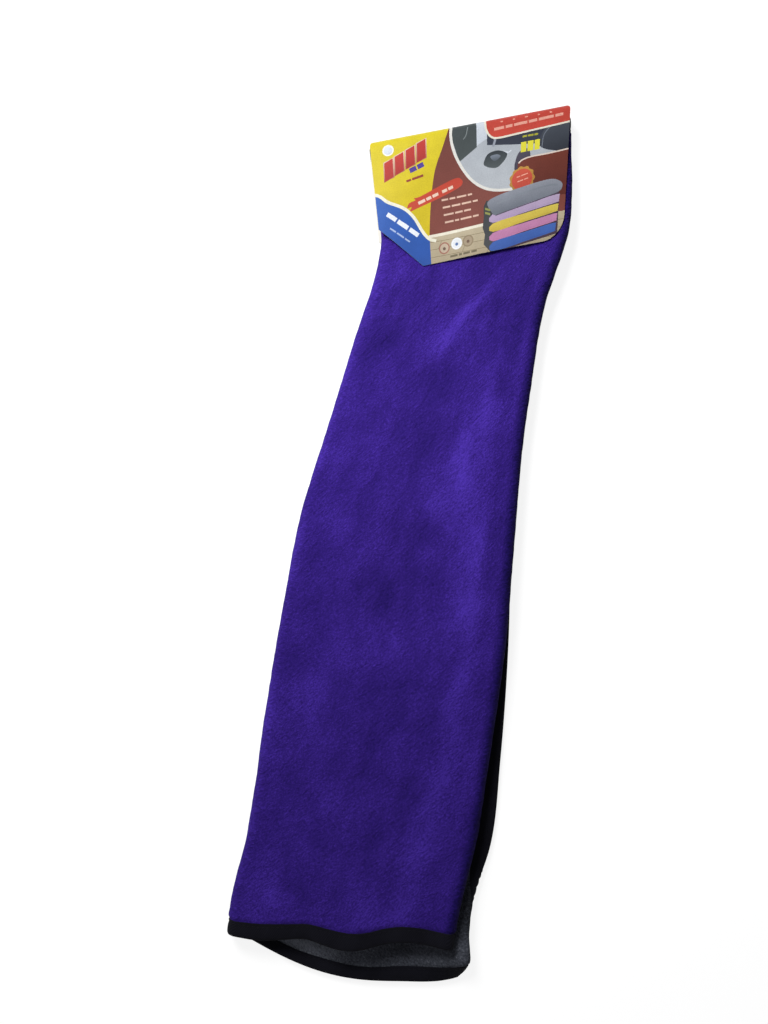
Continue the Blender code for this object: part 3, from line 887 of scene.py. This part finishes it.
# %% Blank and its fold
BOARD = 0.45
PANEL = CARD_H - NOSE               # flat run of one panel
BEND = 2 * NOSE + 8.0               # run of the board round the fold
BLANK = 2 * PANEL + BEND
CARD_MID = LEVEL + LIFT_CARD + RIGHT_RISE + HALF + LIFT_TAPE + 0.3 + BOARD / 2
REAR_MID = BOARD / 2
PINCH = 0.075                       # how much narrower the panel is at its lower edge
FLEX, FLEX_WAVE = 0.9, 21.0         # height of the board's slight waves and their length, mm
FLEX_MIDDLE = 0.75                  # how far the middle of the waves is lifted, mm
FOLD_CORNER = 4.5                   # radius of the round corners at the ends of the fold
SLANT = 0.38                        # outward shift that height seems to give, from above the near end


def card_plan(across, below):
    share = across / CARD_W + 0.5
    side = SIDE_LEFT * (1 - share)[..., None] + SIDE_RIGHT * share[..., None]
    pinch = 1.0 - PINCH * below / CARD_H
    return FOLD_MIDDLE + ACROSS * (across * pinch)[..., None] + side * below[..., None]


def card_place(across, run):
    """Place of the board's middle; run is 0 at the front's lower edge, BLANK at the rear's."""
    angle = np.pi * np.clip((run - PANEL) / BEND, 0, 1)
    below = np.where(run <= PANEL, CARD_H - run,
                     np.where(run >= PANEL + BEND, NOSE + run - PANEL - BEND,
                              NOSE * (1 - np.sin(angle))))
    plan = card_plan(across, below)
    flex = FLEX * np.sin((across + 0.5 * below) / FLEX_WAVE + 0.6) - FLEX_MIDDLE
    flex *= np.clip(below / 60, 0, 1)
    z = (CARD_MID + REAR_MID) / 2 + (CARD_MID - REAR_MID) / 2 * np.cos(angle)
    return np.concatenate([plan, (z - np.where(run < PANEL, 0.5 + flex, 0.0)
                                  * np.clip((PANEL - run) / 20, 0, 1))[..., None]], -1)


def run_below(below):
    """Run on the blank of a line seen that far below the fold, from above."""
    below = np.asarray(below, float)
    bent = PANEL + BEND * np.arcsin(np.clip(1 - below / NOSE, 0, 1)) / np.pi
    return np.where(below >= NOSE, CARD_H - below, np.where(below >= 0, bent, PANEL + BEND / 2 - below))


def blank_outline():
    """Outline of the flat blank, anticlockwise, as (across, run)."""
    half, cut, bend = CARD_W / 2, 40.0, 21.0
    arc = np.radians(np.linspace(0, 90, 9))
    corner = [(half - bend + bend * np.sin(a), bend - bend * np.cos(a)) for a in arc]
    # the fold's corners are round where it looks outermost from above the near end
    lift = SLANT * (CARD_MID - REAR_MID) / 2
    reach, centre = math.hypot(NOSE, lift), math.atan2(NOSE, lift)
    opening = math.acos(max(-1.0, 1 - FOLD_CORNER / reach))
    notch = []
    for angle in centre + opening * np.linspace(-0.98, 0.98, 19):
        away = max(0.0, 1.0 - reach * (1 - math.cos(angle - centre)) / FOLD_CORNER)
        notch.append((half - FOLD_CORNER * (1 - math.sqrt(1 - away ** 2)),
                      PANEL + BEND * angle / np.pi))
    right_side = corner + notch + [(x, BLANK - r) for x, r in reversed(corner)]
    left_side = [(-half + cut, BLANK), (-half, BLANK - cut)] + [(-x, r) for x, r in reversed(notch)] \
        + [(-half, cut), (-half + cut, 0.0)]
    return right_side + left_side


outline = blank_outline()
print("blank:", round(CARD_W), "by", round(BLANK), "mm,", len(outline), "outline points")


# %% [markdown]
# ## Header card: the print
#
# The layout is a generic one: a yellow corner over a blue wave, a brown field with a cut-in room
# picture, a red banner, a seal, a pile of folded towels on a wooden floor and three round icons.
# All words and marks are left out; short bars stand where lines of type would be.
# A place on the card is given as shares of its width and height.

# %% Drawing helpers
shapes = []                         # (outline in shares, ink at its top, ink at its foot)


def draw(points, top_ink, foot_ink=None):
    shapes.append((np.array(points, float), ink(top_ink), ink(foot_ink or top_ink)))


def through(p, steps):
    """Points of a smooth curve through all of p but its first and its last two."""
    out = []
    for a, b, c, d in zip(p, p[1:], p[2:], p[3:]):
        for f in np.linspace(0, 1, steps, endpoint=False):
            out.append(0.5 * (2 * b + (c - a) * f + (2 * a - 5 * b + 4 * c - d) * f * f
                              + (3 * b - a - 3 * c + d) * f ** 3))
    return out


def smooth_shape(points, steps=6):
    """Closed smooth line through points."""
    p = np.array(points, float)
    return through(np.concatenate([p[-1:], p, p[:2]]), steps)


def open_curve(points, steps=6):
    p = np.array(points, float)
    p = np.concatenate([[2 * p[0] - p[1]], p, [2 * p[-1] - p[-2]]])
    return np.array(through(p, steps) + [p[-2]])


def ribbon(points, width, steps=6):
    """A band of even width, in mm, along a smooth line."""
    size = np.array([CARD_W, CARD_H])
    p = open_curve(points, steps) * size
    along = np.gradient(p, axis=0)
    side = np.stack([-along[:, 1], along[:, 0]], -1)
    side /= np.linalg.norm(side, axis=1, keepdims=True)
    return np.concatenate([p + side * width / 2, (p - side * width / 2)[::-1]]) / size


def disc(x, y, radius, count=22, wobble=0.0, lobes=0):
    """A disc of that radius in mm, scalloped if lobes are given."""
    a = np.linspace(0, 2 * np.pi, count, endpoint=False)
    r = radius * (1 + wobble * np.cos(lobes * a))
    return np.stack([x + r * np.cos(a) / CARD_W, y + r * np.sin(a) / CARD_H], -1)


def words(x, y, lengths, thick, colour, slope=0.0, space=0.008):
    """Bars in place of a line of type."""
    for length in lengths:
        a = np.array([x, y])
        b = np.array([x + length, y + slope * length])
        draw(ribbon([a, b], thick, 1), colour)
        x, y = x + length + space, y + slope * (length + space)


# %% Fields, wave and floor boards
draw([(-0.1, -0.12), (1.1, -0.12), (1.1, 1.1), (-0.1, 1.1)], "#64342e", "#86493f")
yellow_edge = open_curve([(0.412, -0.12), (0.40, 0.0), (0.36, 0.16), (0.312, 0.336), (0.283, 0.56),
                          (0.266, 0.79), (0.268, 0.84)])
draw(list(yellow_edge) + [(0.20, 0.95), (-0.1, 0.7), (-0.1, -0.12)], "#cdbd22", "#cdb61c")
wave_line = [(-0.06, 0.395), (0.017, 0.440), (0.062, 0.50), (0.14, 0.565), (0.19, 0.645),
             (0.228, 0.75), (0.262, 0.815), (0.30, 0.84)]
draw(list(open_curve(wave_line)) + [(0.268, 1.1), (-0.1, 1.1)], "#2a5db2", "#234fa0")
draw([(0.266, 0.805), (1.1, 0.805), (1.1, 1.1), (0.266, 1.1)], "#b9ad92", "#a3957a")
for k, top in enumerate((0.845, 0.90, 0.955)):
    draw(ribbon([(0.266, top), (1.05, top + 0.02)], 0.5, 1), "#8a7a5e")
    draw(ribbon([(0.33 + 0.13 * k, top), (0.31 + 0.13 * k, top + 0.055)], 0.45, 1), "#8a7a5e")
    draw(ribbon([(0.60 + 0.11 * k, top), (0.585 + 0.11 * k, top + 0.055)], 0.45, 1), "#93825f")
draw(ribbon([(0.262, 0.802), (0.40, 0.800), (0.66, 0.792)], 2.6), "#e8e2cf")
draw(ribbon(wave_line, 2.8), "#e9e6d2")

# %% Room picture
ring = [(0.424, -0.1), (0.405, 0.03), (0.402, 0.13), (0.424, 0.26), (0.474, 0.400), (0.530, 0.492),
        (0.60, 0.552), (0.69, 0.578), (0.80, 0.58)]
draw(list(open_curve(ring)) + [(1.1, 0.56), (1.1, -0.12), (0.424, -0.12)], "#9fa6ae", "#aeb3b9")
draw([(0.42, -0.12), (0.530, -0.12), (0.530, 0.215), (0.44, 0.300), (0.40, 0.1)], "#373e40", "#454d4e")
draw(ribbon([(0.463, 0.14), (0.476, 0.115), (0.487, 0.055)], 0.7), "#7d8586")
draw([(0.530, -0.12), (0.585, -0.12), (0.585, 0.165), (0.530, 0.205)], "#c9d0d8", "#bcc3cd")
draw([(0.582, 0.03), (1.1, 0.03), (1.1, 0.335), (0.735, 0.255), (0.582, 0.215)], "#2d303d", "#333947")
draw(ribbon([(0.628, 0.10), (0.622, 0.19), (0.612, 0.235)], 2.2), "#9298a4")
draw(ribbon([(0.665, 0.285), (0.690, 0.300), (0.705, 0.290)], 0.9), "#d5dbe4")
draw(smooth_shape([(0.570, 0.315), (0.592, 0.278), (0.635, 0.270), (0.680, 0.300), (0.678, 0.340),
                   (0.640, 0.392), (0.605, 0.392), (0.566, 0.360)]), "#2f353b", "#4b5355")
draw(smooth_shape([(0.598, 0.305), (0.632, 0.298), (0.650, 0.318), (0.620, 0.345)]),
     "#77808d", "#4d555e")
draw(smooth_shape([(0.735, 0.340), (0.765, 0.300), (0.80, 0.320), (0.80, 0.46), (0.755, 0.495),
                   (0.722, 0.44)]), "#4a4654", "#3d3a48")
draw(ribbon(ring, 2.5), "#d8d6d0")
draw(smooth_shape([(0.85, 0.30), (0.865, 0.20), (0.91, 0.135), (0.97, 0.11), (1.06, 0.12),
                   (1.06, 0.37), (0.94, 0.36)]), "#474d57", "#2b2f38")
draw(ribbon([(0.862, 0.31), (0.872, 0.22), (0.912, 0.155)], 0.8), "#6a717d")
# yellow bars in place of the two lines of type over the dark band
words(0.762, 0.205, (0.022, 0.028, 0.018), 1.8, "#a3a02f", slope=0.02, space=0.005)
words(0.754, 0.284, (0.028, 0.030, 0.026), 9.5, "#d6cf3a", slope=0.02, space=0.006)

# %% Banner, panel and seal
banner = [(0.577, -0.12), (0.574, 0.05), (0.582, 0.115), (0.603, 0.160), (0.64, 0.178), (0.75, 0.174),
          (1.06, 0.155)]
draw(list(open_curve(banner)) + [(1.1, -0.12)], "#a83a34", "#bf4436")
draw(ribbon(banner, 1.7), "#dcd8c8")
words(0.618, 0.110, (0.05, 0.034, 0.066, 0.042, 0.075, 0.04), 2.6, "#dd9c8c", slope=-0.05)
words(0.650, 0.062, (0.012, 0.010, 0.014, 0.010, 0.012), 1.3, "#dd9685", space=0.050)
draw([(0.738, 0.40), (0.80, 0.368), (1.1, 0.362), (1.1, 0.70), (0.738, 0.66)], "#6d3429", "#5c2b25")
draw(ribbon([(0.742, 0.40), (0.765, 0.378), (0.81, 0.368), (0.90, 0.368), (1.05, 0.356)], 1.3),
     "#d9c9bd")
draw(disc(0.762, 0.524, 11.8, 66, 0.055, 11), "#b8893f", "#a07434")
draw(disc(0.762, 0.524, 9.8, 30), "#c3523f", "#b8483a")
words(0.734, 0.502, (0.018, 0.034), 1.0, "#e2a08c", slope=-0.25, space=0.006)
words(0.738, 0.536, (0.030, 0.020), 1.0, "#e2a08c", slope=-0.25, space=0.006)

# %% Brush stroke and lines of type on the brown field
stroke_edge = [(0.170, 0.500), (0.158, 0.535), (0.182, 0.530), (0.172, 0.560), (0.215, 0.545),
               (0.330, 0.500), (0.425, 0.455), (0.452, 0.425), (0.446, 0.392), (0.415, 0.378),
               (0.330, 0.415), (0.230, 0.465), (0.196, 0.470), (0.204, 0.486)]
draw(smooth_shape([(x, y + 0.036) for x, y in stroke_edge], 3), "#b8402f", "#c24a38")
words(0.218, 0.548, (0.036, 0.026, 0.030), 2.8, "#e7cbb8", slope=-0.42, space=0.007)
words(0.345, 0.496, (0.026, 0.024), 2.8, "#e7cbb8", slope=-0.42, space=0.007)
for row, parts in enumerate(((0.034, 0.030, 0.05, 0.022), (0.040, 0.045, 0.050, 0.026),
                             (0.052, 0.040, 0.036), (0.046, 0.022, 0.058, 0.030))):
    words(0.340 + 0.004 * row, 0.556 + 0.055 * row, parts, 1.7, "#d9b7a4", slope=-0.02)

# %% Emblem on the yellow, badge and bars on the blue
draw(disc(0.087, 0.116, 5.2), "#e8e8e0")
draw(disc(0.087, 0.116, 4.0), "#d5dbe2", "#c3ccd9")
for k, (x, low) in enumerate(((0.058, 0.345), (0.113, 0.312), (0.170, 0.280), (0.227, 0.246))):
    for grow, top_ink, foot_ink in ((0.005, "#d9bfae", "#9c3a34"), (0.0, "#b8362e", "#9f2b28")):
        draw([(x - grow, low + grow), (x + 0.044 + grow, low - 0.026 + grow),
              (x + 0.048 + grow, low - 0.165 - grow), (x + 0.004 - grow, low - 0.139 - grow)],
             top_ink, foot_ink)
words(0.186, 0.300, (0.034, 0.032), 4.6, "#4b3a8e", slope=-0.45, space=0.006)
words(0.165, 0.372, (0.024, 0.058), 2.2, "#8c3a2f", slope=-0.25, space=0.006)
words(0.052, 0.585, (0.044, 0.050, 0.044), 4.0, "#e6eaf2", slope=1.25, space=0.008)
words(0.060, 0.690, (0.028, 0.034, 0.024), 1.4, "#a7b8dc", slope=1.25, space=0.006)

# %% Pile of towels and icons
draw([(0.560, 0.665), (0.575, 0.625), (0.612, 0.640), (0.612, 0.72), (0.606, 0.80), (0.613, 0.90),
      (0.607, 1.03), (0.585, 0.99), (0.556, 0.94), (0.564, 0.87), (0.552, 0.82), (0.560, 0.74)],
     "#34373a", "#4a4c4f")
bands = ((0.730, 0.802, "#b6a3c0", "#a995b6"), (0.798, 0.868, "#d6c255", "#c4ac45"),
         (0.866, 0.936, "#c386ae", "#b97ba4"), (0.932, 1.010, "#4569b4", "#3c5ca6"))
draw([(0.604, 0.70), (0.965, 0.64), (0.965, 0.96), (0.604, 1.02)], "#4a3a48")
for k, (top, foot, light, dark) in enumerate(bands):
    end = 0.966 - 0.004 * k
    draw(smooth_shape([(0.608, foot - 0.004), (0.606, top + 0.006), (0.78, top - 0.024),
                       (end - 0.014, top - 0.052), (end, top - 0.036), (end - 0.002, foot - 0.078),
                       (end - 0.014, foot - 0.066), (0.78, foot - 0.034)], 3), light, dark)
    draw(ribbon([(0.63, foot - 0.016), (0.78, foot - 0.044), (end - 0.03, foot - 0.072)], 0.7), dark)
draw(smooth_shape([(0.580, 0.640), (0.640, 0.604), (0.76, 0.580), (0.89, 0.560), (0.945, 0.570),
                   (0.978, 0.605), (0.975, 0.645), (0.945, 0.668), (0.86, 0.690), (0.72, 0.722),
                   (0.625, 0.745), (0.600, 0.715)], 4), "#8f939e", "#666c77")
draw(ribbon([(0.630, 0.665), (0.76, 0.628), (0.90, 0.604), (0.955, 0.612)], 1.6), "#7f858f")
draw(ribbon([(0.622, 0.748), (0.72, 0.726), (0.86, 0.694), (0.955, 0.668)], 0.8), "#4c4655")
for y in (0.675, 0.705):
    draw([(0.567, y), (0.594, y + 0.018), (0.594, y + 0.034), (0.567, y + 0.016)], "#8c8f4e")
for x, y, rim, core in ((0.342, 0.905, "#a06a5c", "#bfae98"), (0.410, 0.890, "#eef0f2", "#e2e6ea"),
                        (0.472, 0.888, "#8f7f66", "#a2927a")):
    draw(disc(x, y, 5.4), rim)
    draw(disc(x, y, 4.2), core)
    draw(disc(x, y + 0.004, 1.5, 12), "#5d78a8" if x == 0.410 else "#6d5548")
words(0.372, 0.975, (0.040, 0.016, 0.036, 0.030), 2.0, "#6f664f", slope=-0.02, space=0.008)
print("shapes drawn:", len(shapes))


# %% [markdown]
# ## Header card: cutting and bending the board
#
# Every outline goes into one triangulation, together with a loose lattice of points so that the
# board can bend. Each triangle then asks which shapes it lies in and takes the ink of the last one
# drawn, stored as a colour on its corners.

# %% Cut the blank along the print
def to_blank(points):
    """Shares of the card to (across, run) on the blank, with points every 3 mm."""
    mm = np.stack([(points[:, 0] - 0.5) * CARD_W, points[:, 1] * CARD_H], -1)
    out = []
    for a, b in zip(mm, np.roll(mm, -1, axis=0)):
        count = max(1, int(np.linalg.norm(b - a) / 3.0))
        out += [a + (b - a) * k / count for k in range(count)]
    out = np.array(out)
    return np.stack([out[:, 0], run_below(out[:, 1])], -1)


vertices, loops = [], []


def add_loop(points):
    """One closed outline, turned anticlockwise if it isn't."""
    x, y = np.array(points, float).T
    if np.sum(x * np.roll(y, -1) - y * np.roll(x, -1)) < 0:
        points = points[::-1]
    start = len(vertices)
    vertices.extend(Vector((float(x), float(y))) for x, y in points)
    loops.append(list(range(start, len(vertices))))


long_sides = []
for a, b in zip(outline, outline[1:] + outline[:1]):
    count = max(1, int(math.dist(a, b) / 5.0))
    long_sides += [(a[0] + (b[0] - a[0]) * k / count, a[1] + (b[1] - a[1]) * k / count)
                   for k in range(count)]
add_loop(long_sides)
for points, _, _ in shapes:
    add_loop(to_blank(points))
for row, r in enumerate(np.concatenate([np.arange(3, PANEL, 6.0), np.arange(PANEL, PANEL + BEND, 1.6),
                                        np.arange(PANEL + BEND, BLANK, 8.0)])):
    for a in np.arange(-88 + 3 * (row % 2), 90, 6.0):
        vertices.append(Vector((float(a), float(r))))
cut_points, _, cut_faces, _, _, owners = delaunay_2d_cdt(vertices, [], loops, 1, 1e-4)
kept = [(f, max(own)) for f, own in zip(cut_faces, owners) if 0 in own]
print("board cut into", len(kept), "triangles")

# %% Ink on each corner
flat = np.array([p[:] for p in cut_points])
used = np.unique([i for f, _ in kept for i in f])
index = {int(old): new for new, old in enumerate(used)}
places = card_place(flat[used, 0], flat[used, 1])
places[:, :2] -= ORIGIN
card_mesh = bpy.data.meshes.new("header_card_printed")
faces = []
for f, _ in kept:
    a, b, c = (flat[i] for i in f)
    twice = (b[0] - a[0]) * (c[1] - a[1]) - (b[1] - a[1]) * (c[0] - a[0])
    faces.append([index[i] for i in (f if twice > 0 else f[::-1])])
card_mesh.from_pydata((places * MM).tolist(), [], faces)
below_of = CARD_H - flat[used, 1]
colours = card_mesh.color_attributes.new("print", "FLOAT_COLOR", "CORNER")
values = np.zeros((len(card_mesh.loops), 4), np.float32)
board_white = np.array(ink("#d9d7cf"))
for polygon, (_, own) in zip(card_mesh.polygons, kept):
    for k in polygon.loop_indices:
        at = card_mesh.loops[k].vertex_index
        if own == 0:
            values[k] = board_white
            continue
        shape, top_ink, foot_ink = shapes[own - 1]
        v = below_of[at] / CARD_H
        low, high = shape[:, 1].min(), shape[:, 1].max()
        f = float(np.clip((v - low) / max(high - low, 1e-6), 0, 1))
        values[k] = np.array(top_ink) * (1 - f) + np.array(foot_ink) * f
colours.data.foreach_set("color", values.ravel())
card_uv = card_mesh.uv_layers.new(name="blank")
loop_at = np.array([loop.vertex_index for loop in card_mesh.loops])
card_uv.data.foreach_set("uv", (flat[used][loop_at] * MM).astype(np.float32).ravel())
card = bpy.data.objects.new("header_card_printed", card_mesh)
bpy.context.scene.collection.objects.link(card)

# %% [markdown]
# ## Header card: materials
#
# Offset print on board under a thin film: colours keep their edge but show the screen's fine
# grain, the film gives a low even gloss and the board is never quite flat. The inside and the cut
# edges are bare grey-white board.

# %% Printed board
printed, tree, shader = new_material("film-laminated printed board")
inks = add(tree, "ShaderNodeVertexColor", {"layer_name": "print"}).outputs["Color"]
blank_mm = add(tree, "ShaderNodeUVMap", {"uv_map": "blank"}).outputs["UV"]
# the printing screen is far finer than can show; its grain is drawn 0.9 mm wide
grain = noise_at(tree, blank_mm, 900.0, 2.0)
cloudy = noise_at(tree, blank_mm, 70.0, 3.0)
speck = weighted(tree, 0.50, (cloudy, 0.16), (grain, 0.20))
mottled = add(tree, "ShaderNodeMix", {"data_type": "RGBA", "blend_type": "MULTIPLY"}, i0=1.0,
              i6=inks, i7=add(tree, "ShaderNodeCombineColor", Red=speck, Green=speck,
                              Blue=speck).outputs["Color"]).outputs[2]
uneven = add(tree, "ShaderNodeBump", Height=cloudy, Strength=0.25, Distance=0.0004)
surface(shader, Base_Color=mottled, Normal=uneven.outputs["Normal"], Roughness=0.48, IOR=1.49,
        Specular_IOR_Level=0.22)

bare, tree, shader = new_material("bare grey-white board")
fibre = noise_at(tree, add(tree, "ShaderNodeTexCoord").outputs["Object"], 1400.0, 3.0, flat=False)
surface(shader, Base_Color=ramp(tree, fibre, (0.0, ink("#b9b6ac")), (1.0, ink("#d6d3ca"))),
        Roughness=0.85)
card.data.materials.append(printed)
card.data.materials.append(bare)
skin = card.modifiers.new("thickness", "SOLIDIFY")
skin.thickness, skin.offset = BOARD * MM, 0.0
skin.material_offset = skin.material_offset_rim = 1
nothing_selected()
card.select_set(True)
bpy.context.view_layer.objects.active = card
bpy.ops.object.modifier_apply(modifier=skin.name)
bpy.ops.object.shade_smooth_by_angle(angle=math.radians(35))
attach(card, "root")
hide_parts("header_card")
print("card:", len(card.data.polygons), "faces")

# %% [markdown]
# ## Adhesive strips
#
# Two strips of double-sided tape hold the card. They stay as the frame has them, and only get a
# milky film finish with a faint mesh, as such tape has.

# %% Strip material
strip, tree, shader = new_material("double-sided adhesive tape")
mesh_lines = add(tree, "ShaderNodeTexVoronoi", Vector=add(tree, "ShaderNodeTexCoord").outputs["Object"],
                 Scale=700.0)
surface(shader, Base_Color=ramp(tree, mesh_lines.outputs["Distance"], (0.0, ink("#d8d5c8")),
                                (1.0, ink("#e9e7de"))), Roughness=0.5)
for node in ("front_adhesive_strip", "rear_adhesive_strip"):
    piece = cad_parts[node]
    piece.data.materials.clear()
    piece.data.materials.append(strip)
